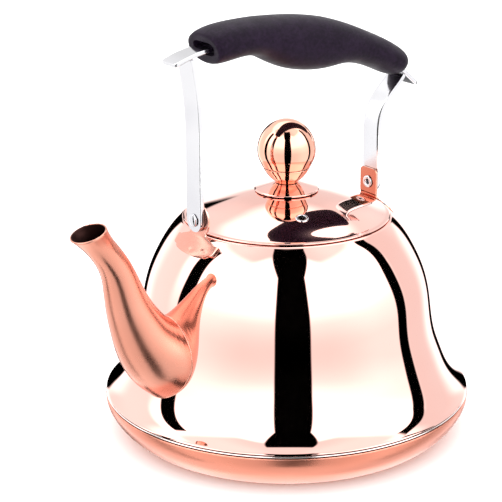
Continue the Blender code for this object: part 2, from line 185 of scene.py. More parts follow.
def tube(name, points, radius, mat, sides=10, closed=True):
    """A round wire along a closed or open line of points (mm)."""
    pts = [Vector(q) for q in points]
    rings = []
    n = len(pts)
    for i, q in enumerate(pts):
        if closed:
            along = (pts[(i + 1) % n] - pts[i - 1]).normalized()
        else:
            along = (pts[min(i + 1, n - 1)] - pts[max(i - 1, 0)]).normalized()
        out = Vector((q.x, q.y, 0.0)).normalized()
        side = (out - along * out.dot(along)).normalized()
        up = along.cross(side)
        rings.append(
            [
                q + (side * math.cos(2 * math.pi * j / sides) + up * math.sin(2 * math.pi * j / sides)) * radius
                for j in range(sides)
            ]
        )
    return skin(name, rings, mat, tube=closed, sharp=60)


def plate(name, rows, thickness, mat, bevel=0.3, dimples=()):
    """A sheet from rows of points (mm), given a thickness and softened edges."""
    bm = bmesh.new()
    grid = [[bm.verts.new([c * MM for c in p]) for p in row] for row in rows]
    for a, b in zip(grid[:-1], grid[1:]):
        for k in range(len(a) - 1):
            bm.faces.new((a[k], a[k + 1], b[k + 1], b[k]))
    bmesh.ops.recalc_face_normals(bm, faces=bm.faces)
    bm.normal_update()
    for centre, radius, depth in dimples:
        spot = Vector(centre) * MM
        for v in bm.verts:
            away = (v.co - spot).length / (radius * MM)
            if away < 2.2:
                inward = Vector((-v.co.x, -v.co.y, -abs(v.co.x) * 0.6)).normalized()
                v.co += inward * depth * MM * math.exp(-(away**2) * 1.6)
    mesh = bpy.data.meshes.new(name)
    bm.to_mesh(mesh)
    bm.free()
    obj = bpy.data.objects.new(name, mesh)
    scene.collection.objects.link(obj)
    mesh.materials.append(mat)
    solid = obj.modifiers.new("thick", "SOLIDIFY")
    solid.thickness = thickness * MM
    solid.offset = 0.0
    solid.use_even_offset = False
    if bevel:
        soft = obj.modifiers.new("soft", "BEVEL")
        soft.width = bevel * MM
        soft.segments = 3
        soft.limit_method = "ANGLE"
        soft.angle_limit = math.radians(50)
    return settle(obj)


def settle(obj, sharp=38.0):
    """Turns the modifiers into plain mesh."""
    bpy.context.view_layer.update()
    graph = bpy.context.evaluated_depsgraph_get()
    made = bpy.data.meshes.new_from_object(obj.evaluated_get(graph))
    obj.modifiers.clear()
    obj.data = made
    made.shade_smooth()
    made.set_sharp_from_angle(angle=math.radians(sharp))
    return obj


def carve(obj, cutter, sharp=38.0):
    boolean = obj.modifiers.new("carve", "BOOLEAN")
    boolean.operation = "DIFFERENCE"
    boolean.solver = "EXACT"
    boolean.object = cutter
    settle(obj, sharp)
    bpy.data.objects.remove(cutter, do_unlink=True)
    return obj


def rod(start, end, radius, sides=48):
    a, b = Vector(start), Vector(end)
    axis = (b - a).normalized()
    side = axis.orthogonal().normalized()
    up = axis.cross(side)
    rings = []
    for q in (a, b):
        rings.append(
            [
                q + (side * math.cos(2 * math.pi * j / sides) + up * math.sin(2 * math.pi * j / sides)) * radius
                for j in range(sides)
            ]
        )
    return skin("cutter", rings, None)


def place(obj, body, slot, *nodes):
    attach(obj, body)
    if nodes:
        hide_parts(*nodes)
    return obj


# ------------------------------------------------------------------ materials
class Nodes:
    """Short calls for building a node tree."""

    def __init__(self, tree):
        self.tree = tree

    def add(self, kind, **settings):
        node = self.tree.nodes.new(kind)
        for key, value in settings.items():
            setattr(node, key, value)
        return node

    def link(self, out, into):
        self.tree.links.new(out, into)

    def math(self, operation, a, b=None, c=None, clamp=False):
        node = self.add("ShaderNodeMath", operation=operation, use_clamp=clamp)
        for socket, value in zip(node.inputs, (a, b, c)):
            if value is None:
                continue
            if isinstance(value, (int, float)):
                socket.default_value = value
            else:
                self.link(value, socket)
        return node.outputs[0]

    def noise(self, vector, scale, detail=3.0, rough=0.55):
        node = self.add("ShaderNodeTexNoise")
        node.inputs["Scale"].default_value = scale
        node.inputs["Detail"].default_value = detail
        node.inputs["Roughness"].default_value = rough
        if vector is not None:
            self.link(vector, node.inputs["Vector"])
        return node.outputs["Fac"]

    def ramp(self, fac, stops):
        node = self.add("ShaderNodeValToRGB")
        while len(node.color_ramp.elements) < len(stops):
            node.color_ramp.elements.new(0.5)
        for element, (at, colour) in zip(node.color_ramp.elements, stops):
            element.position = at
            element.color = (*colour, 1.0)
        self.link(fac, node.inputs["Fac"])
        return node.outputs["Color"]

    def span(self, value, a, b, low, high, kind="LINEAR"):
        node = self.add("ShaderNodeMapRange", interpolation_type=kind)
        node.clamp = True
        for name, number in (("From Min", a), ("From Max", b), ("To Min", low), ("To Max", high)):
            node.inputs[name].default_value = number
        self.link(value, node.inputs["Value"])
        return node.outputs["Result"]


def new_material(name):
    mat = bpy.data.materials.new(name)
    mat.use_nodes = True
    shader = mat.node_tree.nodes["Principled BSDF"]
    return mat, shader, Nodes(mat.node_tree)


def stretched(n, scale):
    """Object coordinates with each axis scaled, so that a noise runs along one of them."""
    coord = n.add("ShaderNodeTexCoord")
    mapping = n.add("ShaderNodeMapping")
    mapping.inputs["Scale"].default_value = scale
    n.link(coord.outputs["Object"], mapping.inputs["Vector"])
    return mapping.outputs["Vector"]


def turned_coords(n, scale):
    """Coordinates that are the same all the way round the Z axis, for lathe and polishing marks."""
    coord = n.add("ShaderNodeTexCoord")
    split = n.add("ShaderNodeSeparateXYZ")
    n.link(coord.outputs["Object"], split.inputs["Vector"])
    squares = n.math("ADD", n.math("MULTIPLY", split.outputs["X"], split.outputs["X"]), n.math("MULTIPLY", split.outputs["Y"], split.outputs["Y"]))
    radius = n.math("SQRT", squares)
    angle = n.math("ARCTAN2", split.outputs["Y"], split.outputs["X"])
    join = n.add("ShaderNodeCombineXYZ")
    n.link(n.math("MULTIPLY", radius, scale), join.inputs["X"])
    n.link(n.math("MULTIPLY", split.outputs["Z"], scale), join.inputs["Z"])
    n.link(n.math("MULTIPLY", n.math("SINE", angle), 0.6), join.inputs["Y"])
    return join.outputs["Vector"]


def metal(name, light, dark, rough, marks, marks_depth, edge, turned=False, scale=(1, 1, 1), anisotropy=0.0, ripple=0.0):
    """Plated or bare metal: tint drift, uneven polish, fine marks, soft smears and worn edges."""
    mat, shader, n = new_material(name)
    shader.inputs["Metallic"].default_value = 1.0
    if anisotropy:
        shader.inputs["Anisotropic"].default_value = anisotropy
    coord = n.add("ShaderNodeTexCoord").outputs["Object"]
    drift = n.noise(coord, 22.0, 2.0)
    tint = n.ramp(drift, [(0.32, dark), (0.62, light)])
    worn = n.span(n.add("ShaderNodeNewGeometry").outputs["Pointiness"], 0.52, 0.60, 0.0, 1.0)
    patchy = n.math("MULTIPLY", worn, n.span(n.noise(coord, 420.0, 4.0), 0.42, 0.62, 0.15, 0.8))
    mix = n.add("ShaderNodeMix", data_type="RGBA")
    n.link(patchy, mix.inputs["Factor"])
    n.link(tint, mix.inputs[6])
    mix.inputs[7].default_value = (*edge, 1.0)
    n.link(mix.outputs[2], shader.inputs["Base Color"])
    smear = n.span(n.noise(coord, 34.0, 5.0, 0.62), 0.35, 0.75, rough[0], rough[1])
    lines_at = turned_coords(n, marks) if turned else stretched(n, tuple(marks * s for s in scale))
    lines = n.noise(lines_at, 1.0, 3.0, 0.6)
    uneven = n.math("ADD", smear, n.math("MULTIPLY", lines, (rough[1] - rough[0]) * 0.45))
    n.link(uneven, shader.inputs["Roughness"])
    bump = n.add("ShaderNodeBump")
    bump.inputs["Strength"].default_value = 0.5
    bump.inputs["Distance"].default_value = marks_depth
    n.link(lines, bump.inputs["Height"])
    last = bump.outputs["Normal"]
    if ripple:
        wave = n.add("ShaderNodeBump")
        wave.inputs["Strength"].default_value = 0.5
        wave.inputs["Distance"].default_value = ripple
        n.link(n.noise(coord, 46.0, 1.5), wave.inputs["Height"])
        n.link(last, wave.inputs["Normal"])
        last = wave.outputs["Normal"]
    n.link(last, shader.inputs["Normal"])
    return mat


ROSE = metal("mirror_rose_gold", (0.95, 0.575, 0.508), (0.945, 0.55, 0.480), (0.012, 0.03), 1400, 2e-7, (0.97, 0.74, 0.68), turned=True, ripple=4e-6)
LID_ROSE = metal("mirror_rose_gold_lid", (0.95, 0.58, 0.51), (0.945, 0.555, 0.483), (0.015, 0.04), 1600, 3e-7, (0.97, 0.74, 0.68), turned=True, ripple=6e-6)
SATIN = metal("satin_rose_gold", (0.80, 0.30, 0.205), (0.76, 0.27, 0.18), (0.24, 0.34), 2600, 6e-6, (0.92, 0.55, 0.45), turned=True, anisotropy=0.3)
SPOUT = metal("spout_copper", (0.78, 0.345, 0.25), (0.72, 0.295, 0.205), (0.22, 0.31), 900, 2e-6, (0.93, 0.60, 0.50), scale=(1, 1, 0.12), ripple=3e-5)
# Painted shade: the near-black brown of the spout's inner faces stands in for the shade inside the tube, not for the
# colour of the metal.
SHADED_BORE = metal("spout_bore_painted_shade", (0.10, 0.045, 0.04), (0.06, 0.025, 0.022), (0.35, 0.5), 1200, 8e-6, (0.16, 0.08, 0.07), scale=(1, 1, 0.2))
FOOT_ROSE = metal("bracket_rose_gold", (0.79, 0.38, 0.30), (0.75, 0.34, 0.265), (0.15, 0.23), 1300, 1e-6, (0.95, 0.70, 0.61), scale=(1, 1, 0.3))
LUG_COPPER = metal("lug_copper", (0.64, 0.265, 0.18), (0.58, 0.22, 0.145), (0.10, 0.18), 1500, 1e-6, (0.88, 0.53, 0.41), scale=(1, 1, 0.1))
KNOB = metal("knob_copper", (0.955, 0.505, 0.375), (0.95, 0.475, 0.34), (0.015, 0.05), 1500, 5e-7, (0.98, 0.66, 0.50), turned=True)
STEEL = metal("polished_steel", (0.71, 0.705, 0.725), (0.62, 0.615, 0.645), (0.07, 0.15), 1800, 1.2e-6, (0.93, 0.93, 0.94), scale=(1, 1, 0.04))
BAR_STEEL = metal("polished_steel_bar", (0.70, 0.695, 0.715), (0.62, 0.615, 0.645), (0.07, 0.15), 1800, 1.2e-6, (0.93, 0.93, 0.94), scale=(0.04, 1, 1))
INNER = metal("inner_steel", (0.42, 0.405, 0.39), (0.36, 0.345, 0.33), (0.26, 0.40), 2200, 6e-6, (0.72, 0.71, 0.70), turned=True, anisotropy=0.4)
RING_STEEL = metal("seam_steel", (0.88, 0.80, 0.78), (0.80, 0.72, 0.70), (0.08, 0.16), 2000, 1e-6, (0.95, 0.93, 0.92), turned=True)


def soft_touch():
    """Matte soft-touch moulding: purple-black, mottled, with a fine spark texture, rubbed paler along its edges."""
    mat, shader, n = new_material("soft_black_grip")
    coord = n.add("ShaderNodeTexCoord").outputs["Object"]
    mottle = n.math("ADD", n.math("MULTIPLY", n.noise(coord, 620.0, 5.0, 0.7), 0.65), n.math("MULTIPLY", n.noise(coord, 95.0, 3.0), 0.35))
    tint = n.ramp(mottle, [(0.42, (0.0030, 0.0011, 0.0044)), (0.58, (0.0105, 0.0048, 0.0140))])
    worn = n.span(n.add("ShaderNodeNewGeometry").outputs["Pointiness"], 0.53, 0.62, 0.0, 0.5)
    mix = n.add("ShaderNodeMix", data_type="RGBA")
    n.link(worn, mix.inputs["Factor"])
    n.link(tint, mix.inputs[6])
    mix.inputs[7].default_value = (0.022, 0.016, 0.027, 1.0)
    n.link(mix.outputs[2], shader.inputs["Base Color"])
    n.link(n.span(n.noise(coord, 140.0, 5.0), 0.3, 0.7, 0.40, 0.54), shader.inputs["Roughness"])
    shader.inputs["Specular IOR Level"].default_value = 0.15
    shader.inputs["Specular Tint"].default_value = (0.86, 0.66, 0.98, 1.0)
    shader.inputs["Sheen Weight"].default_value = 0.015
    shader.inputs["Sheen Roughness"].default_value = 0.5
    grain = n.add("ShaderNodeTexVoronoi")
    grain.inputs["Scale"].default_value = 1900.0
    n.link(coord, grain.inputs["Vector"])
    height = n.math("ADD", grain.outputs["Distance"], n.math("MULTIPLY", n.noise(coord, 3600.0, 3.0), 0.9))
    bump = n.add("ShaderNodeBump")
    bump.inputs["Strength"].default_value = 0.6
    bump.inputs["Distance"].default_value = 9e-5
    n.link(height, bump.inputs["Height"])
    n.link(bump.outputs["Normal"], shader.inputs["Normal"])
    return mat


GRIP = soft_touch()


def floor_paint():
    mat, shader, n = new_material("studio_floor")
    coord = n.add("ShaderNodeTexCoord").outputs["Object"]
    n.link(n.ramp(n.noise(coord, 3.0, 3.0), [(0.3, (0.93, 0.93, 0.93)), (0.7, (0.95, 0.95, 0.95))]), shader.inputs["Base Color"])
    shader.inputs["Roughness"].default_value = 0.9
    shader.inputs["Specular IOR Level"].default_value = 0.1
    return mat


# ------------------------------------------------------------------ body
wall = [tuple(p) for p in spline(WALL_POINTS, 150)]
wall_z = np.array([z for _, z in wall][::-1])
wall_r = np.array([r for r, _ in wall][::-1])


def body_radius(z):
    return float(np.interp(z, wall_z, wall_r))


def inward(points, amount):
    """The profile moved amount mm towards the axis side of itself."""
    p = np.array(points, float)
    along = np.gradient(p, axis=0)
    along /= np.linalg.norm(along, axis=1)[:, None]
    return [(r + dz * amount, z - dr * amount) for (r, z), (dr, dz) in zip(p, along)]


inner_wall = inward(wall, 0.8)
top_turn = rounded([(51.5, 112.75), (51.5, 113.5), (53.3, 113.5), (54.0, 113.2)], 0.35, 5, closed=False)
lip_turn = [(94.35, 22.15), (94.5, 21.95), (94.45, 21.7), (94.25, 21.6), (93.9, 21.65)]
shell = lathe(
    "kettle_body",
    top_turn[:-1] + wall + lip_turn + [p for p in inner_wall[-3::-1]] + [(52.7, 112.7)],
    ROSE,
    steps=224,
)
carve(shell, rod((-110.0, 0.0, 61.0), (-55.0, 0.0, 45.0), 13.5, 64))
place(shell, "kettle", "mirror_rose_gold", "body_shell")

collar = lathe(
    "mouth_collar_sleeve",
    rounded([(51.2, 113.3), (51.2, 104.0), (50.2, 104.0), (50.2, 113.3)], 0.3, 4),
    INNER,
)
place(collar, "kettle", "inner_steel", "mouth_collar")

pan_outer = spline(
    [(94.8, 19.0), (94.4, 16.4), (92.6, 12.2), (89.4, 7.6), (85.2, 3.6), (81.6, 1.0), (80.0, 0.25)], 50
)
pan_inner = [(80.6, 2.2), (84.3, 4.8), (88.3, 8.6), (91.3, 12.9), (93.0, 16.6), (93.4, 19.3)]
pan = lathe(
    "base_pan_turned",
    [(0.0, 0.9), (40.0, 0.9), (77.6, 0.9)]
    + [tuple(p) for p in spline(pan_inner, 18)]
    + [(93.6, 19.75), (94.0, 19.9), (94.5, 19.8), (94.75, 19.5)]
    + [tuple(p) for p in pan_outer]
    + [(79.3, 0.05), (78.5, 0.0), (60.0, 0.0), (30.0, 0.0), (0.0, 0.0)],
    SATIN,
    steps=224,
    closed=False,
)
place(pan, "kettle", "satin_rose_gold", "base_pan")

bead = lathe(
    "seam_bead",
    [(93.9 + 0.75 * math.cos(a), 20.7 + 0.48 * math.sin(a)) for a in np.linspace(0, 2 * math.pi, 15)[:-1]],
    RING_STEEL,
    steps=224,
)
place(bead, "kettle", "polished_steel", "seam_ring")

# ------------------------------------------------------------------ spout
spout_xz = [
    (-66.0, 49.0),
    (-74.0, 52.6),
    (-82.3, 58.9),
    (-88.6, 66.6),
    (-93.0, 74.6),
    (-97.6, 85.4),
    (-100.9, 96.4),
    (-104.0, 105.4),
    (-108.6, 113.6),
    (-113.8, 120.6),
    (-118.6, 126.4),
]
spout_r = [20.4, 20.1, 18.6, 15.9, 13.6, 11.2, 9.3, 8.0, 7.3, 7.5, 9.2]
COUNT = 140
line = spline([(x, z, r) for (x, z), r in zip(spout_xz, spout_r)], COUNT)
MOUTH = Vector((-math.sin(math.radians(18)), 0.0, math.cos(math.radians(18))))


def spout_point(t, turn, extra):
    """A point of the spout's surface: t runs along the path, turn goes round it."""
    f = t * (COUNT - 1)
    k = min(int(f), COUNT - 2)
    row = line[k] * (1 - (f - k)) + line[k + 1] * (f - k)
    step = (line[min(k + 2, COUNT - 1)] - line[max(k - 1, 0)])
    ahead = Vector((step[0], 0.0, step[1])).normalized()
    blend = max(0.0, (t - 0.80) / 0.20)
    ahead = ahead.lerp(MOUTH, blend * blend * (3 - 2 * blend)).normalized()
    side = Vector((0.0, 1.0, 0.0))
    up = ahead.cross(side)
    radius = row[2] + extra
    return Vector((row[0], 0.0, row[1])) + (side * math.cos(turn) + up * math.sin(turn)) * radius


def root_of(turn, extra):
    """Where the surface line at this turn comes out of the body wall."""
    ts = np.linspace(0.0, 0.8, 500)
    last = 0.0
    for t in ts:
        q = spout_point(t, turn, extra)
        if math.hypot(q.x, q.y) < body_radius(q.z) + 0.2:
            last = t
    return last


SIDES, ROWS = 72, 96
turns = [2 * math.pi * j / SIDES for j in range(SIDES)]
roots = [root_of(turn, 0.0) for turn in turns]
outer_rows = []
for i in range(ROWS):
    u = i / (ROWS - 1)
    outer_rows.append([spout_point(roots[j] + (1 - roots[j]) * u, turns[j], 0.0) for j in range(SIDES)])
lip_rows = []
for a in (35, 70, 105, 140, 170):
    turn_out = math.radians(a)
    rise = 0.5 * math.sin(turn_out)
    shift = 0.45 * (1 - math.cos(turn_out))
    lip_rows.append([spout_point(1.0, turns[j], -shift) + MOUTH * rise for j in range(SIDES)])
inner_rows = []
for i in range(ROWS - 1, -1, -3):
    u = i / (ROWS - 1)
    inner_rows.append([spout_point(roots[j] + (1 - roots[j]) * u, turns[j], -0.9) for j in range(SIDES)])
spout = skin("spout_tube", outer_rows + lip_rows + inner_rows, SPOUT, tube=True, sharp=50)
# The spout's inner faces get the near-black bore material, which is painted shade inside the tube.
spout.data.materials.append(SHADED_BORE)
axis_points = line[:, :2]
for face in spout.data.polygons:
    c = face.center / MM
    gap = np.hypot(axis_points[:, 0] - c.x, axis_points[:, 1] - c.z)
    near = int(gap.argmin())
    toward_axis = Vector((axis_points[near][0] - c.x, -c.y, axis_points[near][1] - c.z))
    if toward_axis.length < line[near][2] - 0.45 and face.normal.dot(toward_axis) > 0:
        face.material_index = 1
place(spout, "kettle", "spout_copper", "spout")
weld = tube("spout_root_seam", [outer_rows[0][j] for j in range(SIDES)], 0.42, SPOUT, sides=8)
place(weld, "kettle", "spout_copper")

# ------------------------------------------------------------------ brackets
def bracket(name, side, outline, mat, dimples):
    foot = spline([(62.0, 105.0), (61.7, 105.5), (59.4, 108.4), (57.4, 110.8)], 200)
    widths = spline([(0.0, 2.2), (0.07, 8.6), (0.18, 11.8), (0.34, 14.4), (0.55, 16.3), (0.76, 16.5), (1.0, 14.0)], 400)
    rows = []
    for k in range(30):
        t = (k / 29) ** 1.35
        point = foot[round(199 * t)]
        half = float(np.interp(t, widths[:, 0], widths[:, 1]))
        if t < 0.07:
            half = 2.2 + 6.4 * math.sqrt(t / 0.07)
        rows.append((point[0] + 0.05, point[1], half, 1.0))
    neck = spline([(57.45, 110.8, 14.0, 1.0), (56.7, 111.8, 11.6, 1.0), (55.95, 112.9, 8.4, 0.8), (55.4, 114.3, 6.3, 0.4), (LUG_X, 115.8, 6.2, 0.0)], 16)
    rows += [tuple(r) for r in neck[1:]]
    rows += [(LUG_X, z, half, 0.0) for z, half in outline]
    grid = []
    for radius, z, half, curved in rows:
        row = []
        for j in range(29):
            y = half * (j / 14 - 1)
            bent = math.sqrt(max(radius**2 - y**2, 0.0))
            row.append((side * (bent * curved + radius * (1 - curved)), y, z))
        grid.append(row)
    made = plate(name, grid, LUG_THICK, mat, 0.16, dimples)
    return carve(made, rod((side * (LUG_X - 4), 0, PIVOT_Z), (side * (LUG_X + 4), 0, PIVOT_Z), 2.6, 40))


disc = [(PIVOT_Z + 9.0 * math.sin(a), 9.0 * math.cos(a)) for a in np.linspace(math.radians(-32), math.radians(88.5), 26)]
disc = [(117.0 + (z - disc[0][0]) * (disc[-1][0] - 117.0) / (disc[-1][0] - disc[0][0]), h) for z, h in disc]
slab = [(z, 6.4) for z in np.linspace(117.0, 126.2, 10)]
slab += [(126.5 + 2.5 * math.sin(a), 3.9 + 2.5 * math.cos(a)) for a in np.linspace(0.1, math.radians(88), 10)]
front_spots = [
    ((-59.6, 7.4, 107.8), 1.3, 0.32),
    ((-60.6, -1.2, 107.2), 1.3, 0.32),
    ((-59.2, -9.4, 107.9), 1.2, 0.3),
]
front_bracket = bracket("front_bracket_plate", -1, disc, FOOT_ROSE, front_spots)
rear_bracket = bracket("rear_bracket_plate", 1, slab, LUG_COPPER, [((59.6, y, 107.6), 1.3, 0.38) for y in (-11.6, -2.0, 8.0)])
place(front_bracket, "kettle", "mirror_rose_gold", "front_bracket")
place(rear_bracket, "kettle", "mirror_rose_gold", "rear_bracket")


def rivet(name, side):
    face = STRAP_X + STRAP_THICK / 2 + 0.3
    lug = LUG_X - LUG_THICK / 2 - 0.3
    head = [(3.3 * math.sin(a), face + 0.15 + 0.95 * math.cos(a)) for a in np.linspace(0.0, math.pi / 2, 14)]
    profile = head + [
        (3.3, face + 0.05),
        (3.2, face),
        (2.3, face),
        (2.3, lug),
        (3.15, lug),
        (3.3, lug - 0.15),
        (3.25, lug - 0.42),
        (3.0, lug - 0.68),
        (2.6, lug - 0.82),
        (2.15, lug - 0.8),
        (1.75, lug - 0.6),
        (1.45, lug - 0.2),
        (1.3, lug + 0.4),
        (1.3, face - 1.0),
        (0.0, face - 1.0),
    ]
    made = lathe(name, profile, STEEL, 48, closed=False)
    made.data.transform(Matrix.Translation((0, 0, PIVOT_Z * MM)) @ Matrix.Rotation(side * math.pi / 2, 4, "Y"))
    return made


place(rivet("front_tube_rivet", -1), "kettle", "polished_steel", "front_rivet")
place(rivet("rear_tube_rivet", 1), "kettle", "polished_steel", "rear_rivet")


# ------------------------------------------------------------------ handle
def bar(name, side_path, half_at, thickness, mat, bevel):
    rows = []
    for k, (x, z) in enumerate(side_path):
        half = half_at(x, z)
        rows.append([(x, half * (j / 4 - 1), z) for j in range(9)])
    return plate(name, rows, thickness, mat, bevel)


def strap_half(x, z):
    low = PIVOT_Z - z
    full = STRAP_WIDTH / 2
    return math.sqrt(max(full**2 - low**2, 0.8**2)) if low > 0 else full


end_levels = [PIVOT_Z - 5.95 * math.cos(a) for a in np.linspace(0.0, math.pi / 2, 14)]
front_line = [(-STRAP_X, z) for z in end_levels] + [
    tuple(p)
    for p in spline(
        [(-STRAP_X, PIVOT_Z + 0.8), (-STRAP_X, 145.0), (-STRAP_X, 166.0), (-57.5, 178.0), (-59.0, 190.0), (-61.2, 202.9)], 60
    )
]
rear_line = [(STRAP_X, z) for z in end_levels] + [
    tuple(p)
    for p in spline(
        [
            (STRAP_X, PIVOT_Z + 0.8),
            (STRAP_X, 136.0),
            (STRAP_X, 149.0),
            (57.8, 156.5),
            (60.6, 163.4),
            (66.2, 169.8),
            (70.6, 173.9),
            (73.5, 177.2),
        ],
        70,
    )
]
for name, path, node, side in (
    ("front_strap_bar", front_line, "front_strap", -1),
    ("rear_strap_bar", rear_line, "rear_strap", 1),
):
    made = bar(name, path, strap_half, STRAP_THICK, STEEL, 0.45)
    carve(made, rod((side * (STRAP_X - 5), 0, PIVOT_Z), (side * (STRAP_X + 5), 0, PIVOT_Z), 2.6, 40))
    place(made, "handle", "polished_steel", node)

tang_points = [
    (-71.2, 201.3),
    (-66.0, 203.2),
    (-60.0, 204.9),
    (-50.0, 206.6),
    (-30.0, 207.0),
    (-5.0, 204.4),
    (20.0, 199.9),
    (45.0, 193.6),
    (60.0, 187.9),
    (67.0, 184.0),
    (72.5, 180.0),
    (78.0, 175.4),
    (83.3, 170.8),
]
tang_line = [tuple(p) for p in spline(tang_points, 120)]


def tang_half(x, z):
    ends = min(math.hypot(x + 71.2, z - 201.3), math.hypot(x - 83.3, z - 170.8))
    return TANG_WIDTH / 2 - max(0.0, 1.0 - ends) * 1.0


tang = bar("handle_tang_bar", tang_line, tang_half, TANG_THICK, BAR_STEEL, 0.45)
place(tang, "handle", "polished_steel", "handle_tang")

stations = [
    (-50.6, 206.3, 13.4, 7.9),
    (-46.0, 207.3, 13.8, 8.7),
    (-38.0, 208.5, 13.9, 9.0),
    (-28.0, 209.1, 14.0, 8.9),
    (-19.0, 208.4, 14.0, 9.8),
    (-9.0, 206.0, 14.1, 11.9),
    (1.0, 203.5, 14.2, 13.4),
    (12.0, 201.5, 14.2, 13.7),
    (22.0, 200.2, 14.2, 12.9),
    (33.0, 198.8, 14.1, 10.7),
    (43.0, 196.2, 13.9, 9.2),
    (51.0, 193.3, 13.8, 8.6),
    (58.5, 190.0, 13.7, 8.3),
    (65.5, 186.4, 13.3, 7.9),
    (69.8, 184.0, 12.0, 6.9),
    (71.8, 182.8, 9.4, 5.0),
]
grip_line = spline(stations, 150)
GRIP_SIDES = 96


def grip_ring(row, slope, shrink):
    x, z, half_y, half_z = row
    ring = []
    for j in range(GRIP_SIDES):
        turn = 2 * math.pi * j / GRIP_SIDES
        c, s = math.cos(turn), math.sin(turn)
        side = math.copysign(abs(c) ** 0.92, c) * (half_y - shrink)
        up = math.copysign(abs(s) ** 0.94, s) * (half_z - shrink)
        # A hair-fine mould line runs along both sides.
        part = math.exp(-((s / 0.035) ** 2)) * 0.14
        side -= math.copysign(part, side)
        ring.append((x - up * math.sin(slope), side, z + up * math.cos(slope)))
    return ring


grip_rings = []
first, last = grip_line[0], grip_line[-1]
slope0 = math.atan2(grip_line[2][1] - first[1], grip_line[2][0] - first[0])
slope1 = math.atan2(last[1] - grip_line[-3][1], last[0] - grip_line[-3][0])
# The front face is flat with a softened rim and a slight dish.
for shrink, ahead in ((12.6, 0.45), (7.4, 0.40), (6.6, 0.25), (4.0, 0.18), (2.2, 0.06), (1.5, 0.0), (0.9, 0.10), (0.45, 0.32), (0.15, 0.68)):
    shift = ahead
    row = (first[0] + shift * math.cos(slope0), first[1] + shift * math.sin(slope0), max(first[2], 0), first[3])
    s = min(shrink, first[3] - 0.6)
    flat = (row[0], row[1], row[2] - (shrink - s) * 0.6, row[3])
    grip_rings.append(grip_ring(flat, slope0, s))
for k in range(3, 148):
    a, b = grip_line[max(k - 1, 0)], grip_line[min(k + 1, 149)]
    grip_rings.append(grip_ring(grip_line[k], math.atan2(b[1] - a[1], b[0] - a[0]), 0.0))
for shrink, back in ((0.4, 0.20), (1.2, 0.06), (2.4, 0.0), (4.2, 0.0)):
    grip_rings.append(grip_ring((last[0] - back * math.cos(slope1), last[1] - back * math.sin(slope1), last[2], last[3]), slope1, shrink))
grip = skin("moulded_grip", grip_rings, GRIP, sharp=50)
slot_rings = []
for k in range(0, 120, 3):
    x, z = tang_line[k]
    a, b = tang_line[max(k - 1, 0)], tang_line[min(k + 1, 119)]
    tilt = math.atan2(b[1] - a[1], b[0] - a[0])
    nx, nz = -math.sin(tilt) * (TANG_THICK / 2 + 0.3), math.cos(tilt) * (TANG_THICK / 2 + 0.3)
    h = TANG_WIDTH / 2 + 0.3
    slot_rings.append([(x - nx, -h, z - nz), (x - nx, h, z - nz), (x + nx, h, z + nz), (x + nx, -h, z + nz)])
carve(grip, skin("cutter", slot_rings, None), 50)
recess = []
for ahead, half_y, half_z in ((-2.5, 8.6, 3.6), (1.2, 8.4, 3.4), (3.6, 7.6, 2.7)):
    x, z = first[0] + ahead * math.cos(slope0), 206.45 + ahead * math.sin(slope0) * 0.7
    ring = []
    for j in range(40):
        c, t = math.cos(2 * math.pi * j / 40), math.sin(2 * math.pi * j / 40)
        ring.append((x, math.copysign(abs(c) ** 0.5, c) * half_y, z + math.copysign(abs(t) ** 0.6, t) * half_z))
    recess.append(ring)
carve(grip, skin("cutter", recess, None), 50)
place(grip, "handle", "soft_black_grip", "grip")

# ------------------------------------------------------------------ lid
lid_top = spline(
    [(2.4, 128.5), (8.0, 128.2), (12.0, 127.6), (16.5, 126.5), (23.0, 124.9), (32.7, 121.95), (42.0, 118.55), (48.6, 115.8), (51.0, 114.9)],
    70,
)
rim = [(51.8, 114.72), (52.4, 114.66), (52.75, 114.5), (52.9, 114.25), (52.8, 114.0), (52.5, 113.87)]
lid_under = [(51.2, 113.85), (48.2, 114.85), (41.7, 117.65), (32.4, 121.05), (22.7, 124.0), (16.3, 125.6), (12.0, 126.7), (8.0, 127.3), (2.4, 127.6)]
lid = lathe("lid_cone", [tuple(p) for p in lid_top] + rim + lid_under, LID_ROSE, steps=200, sharp=50)
wx, wy = -14.2, -30.4
whistle_r = math.hypot(wx, wy)
tilt = math.radians(19.4)
out = Vector((wx / whistle_r, wy / whistle_r, 0.0))
whistle_axis = out * math.sin(tilt) + Vector((0, 0, math.cos(tilt)))
seat = Vector((wx, wy, 121.25))
carve(lid, rod(seat - whistle_axis * 6, seat + whistle_axis * 6, 2.5, 48), 50)
place(lid, "lid", "mirror_rose_gold", "lid_dome")

skirt = lathe(
    "lid_skirt_sleeve",
    rounded([(47.2, 114.6), (47.8, 114.2), (48.6, 113.2), (48.6, 106.2), (48.2, 105.4), (47.6, 105.4), (47.6, 113.0), (46.8, 114.0)], 0.2, 3),
    INNER,
)
place(skirt, "lid", "inner_steel", "lid_skirt")


def on_lid(obj):
    obj.data.transform(Matrix.Translation(seat * MM) @ whistle_axis.to_track_quat("Z", "Y").to_matrix().to_4x4())
    return obj


eyelet = on_lid(
    lathe(
        "whistle_eyelet",
        rounded([(2.0, 0.7), (2.35, 0.95), (2.9, 0.9), (3.3, 0.55), (3.2, 0.35), (2.3, 0.35), (2.3, -2.2), (1.95, -2.2)], 0.18, 4),
        STEEL,
        48,
    )
)
place(eyelet, "lid", "polished_steel", "vent_eyelet")
cup = on_lid(
    lathe(
        "whistle_cup_drilled",
        rounded([(5.6, -1.4), (5.6, -1.8), (4.6, -2.2), (4.4, -5.2), (0.7, -5.6), (0.7, -4.9), (3.8, -4.5), (3.9, -1.6)], 0.2, 3),
        INNER,
        48,
    )
)
place(cup, "lid", "inner_steel", "whistle_cup")

